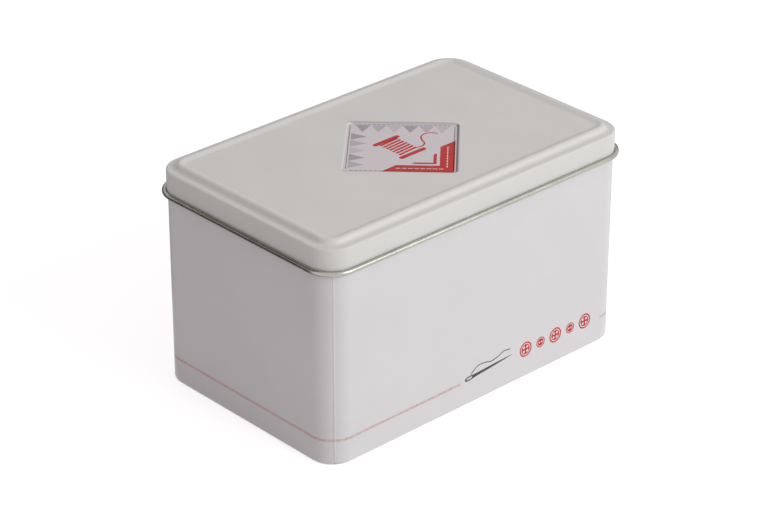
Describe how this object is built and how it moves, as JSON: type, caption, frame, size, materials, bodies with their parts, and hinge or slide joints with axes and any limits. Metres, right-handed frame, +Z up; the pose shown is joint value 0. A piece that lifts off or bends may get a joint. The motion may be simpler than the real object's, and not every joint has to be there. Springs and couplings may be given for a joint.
{
  "type": "bobbin box",
  "caption": "Rectangular slip-lid tin with a rolled bare-metal lid edge; foam layers inside hold wound sewing bobbins lying flat.",
  "frame": {"origin": "centre of the plane that the tin's foot rests on, under the middle of the box", "axes": "+X along the long side, +Y along the width towards the back, +Z up; the side seam is at the -X -Y corner and the diamond on the lid is read from -Y"},
  "size_m": [0.1802, 0.116, 0.1053],
  "materials": {
    "tin_body": "satin",
    "tin_lid": "satin",
    "foam": "matte",
    "bobbin_steel": "satin",
    "thread_red": "satin",
    "thread_blue": "satin",
    "thread_gold": "satin",
    "thread_green": "satin",
    "thread_cream": "satin",
    "thread_plum": "satin",
    "thread_grey": "satin"
  },
  "bodies": {
    "tin_body": {"body_wall": "tin_body", "bottom_panel": "tin_body"},
    "foam_layer_1": {"foam_base_1": "foam", "foam_grid_1": "foam"},
    "bobbins_1": {"bobbins_layer_1": "bobbin_steel", "threads_layer_1": "thread_grey"},
    "foam_layer_2": {"foam_base_2": "foam", "foam_grid_2": "foam"},
    "bobbins_2": {"bobbins_layer_2": "bobbin_steel", "threads_layer_2": "thread_cream"},
    "foam_layer_3": {"foam_base_3": "foam", "foam_grid_3": "foam"},
    "bobbins_3": {"bobbins_layer_3": "bobbin_steel", "threads_layer_3": "thread_blue"},
    "foam_layer_4": {"foam_base_4": "foam", "foam_grid_4": "foam"},
    "bobbins_4": {"bobbin_a1": "bobbin_steel", "bobbin_a2": "bobbin_steel", "bobbin_a3": "bobbin_steel", "bobbin_a4": "bobbin_steel", "bobbin_a5": "bobbin_steel", "bobbin_b1": "bobbin_steel", "bobbin_b2": "bobbin_steel", "bobbin_b3": "bobbin_steel", "bobbin_b4": "bobbin_steel", "bobbin_b5": "bobbin_steel", "bobbin_c1": "bobbin_steel", "bobbin_c2": "bobbin_steel", "bobbin_c3": "bobbin_steel", "bobbin_c4": "bobbin_steel", "bobbin_c5": "bobbin_steel", "thread_a1": "thread_red", "thread_a2": "thread_green", "thread_a3": "thread_grey", "thread_a4": "thread_gold", "thread_a5": "thread_plum", "thread_b1": "thread_blue", "thread_b2": "thread_cream", "thread_b3": "thread_red", "thread_b4": "thread_green", "thread_b5": "thread_grey", "thread_c1": "thread_gold", "thread_c2": "thread_plum", "thread_c3": "thread_blue", "thread_c4": "thread_cream", "thread_c5": "thread_red"},
    "lid": {"lid": "tin_lid"}
  },
  "joints": [
    {"name": "foam_layer_1_lift", "type": "slide", "parent": "tin_body", "child": "foam_layer_1", "axis": [0, 0, 1], "range_m": [0, 0.11]},
    {"name": "bobbins_1_lift", "type": "slide", "parent": "foam_layer_1", "child": "bobbins_1", "axis": [0, 0, 1], "range_m": [0, 0.02]},
    {"name": "foam_layer_2_lift", "type": "slide", "parent": "bobbins_1", "child": "foam_layer_2", "axis": [0, 0, 1], "range_m": [0, 0.085]},
    {"name": "bobbins_2_lift", "type": "slide", "parent": "foam_layer_2", "child": "bobbins_2", "axis": [0, 0, 1], "range_m": [0, 0.02]},
    {"name": "foam_layer_3_lift", "type": "slide", "parent": "bobbins_2", "child": "foam_layer_3", "axis": [0, 0, 1], "range_m": [0, 0.06]},
    {"name": "bobbins_3_lift", "type": "slide", "parent": "foam_layer_3", "child": "bobbins_3", "axis": [0, 0, 1], "range_m": [0, 0.02]},
    {"name": "foam_layer_4_lift", "type": "slide", "parent": "bobbins_3", "child": "foam_layer_4", "axis": [0, 0, 1], "range_m": [0, 0.04]},
    {"name": "bobbins_4_lift", "type": "slide", "parent": "foam_layer_4", "child": "bobbins_4", "axis": [0, 0, 1], "range_m": [0, 0.02]},
    {"name": "lid_lift", "type": "slide", "parent": "bobbins_4", "child": "lid", "axis": [0, 0, 1], "range_m": [0, 0.06]}
  ]
}
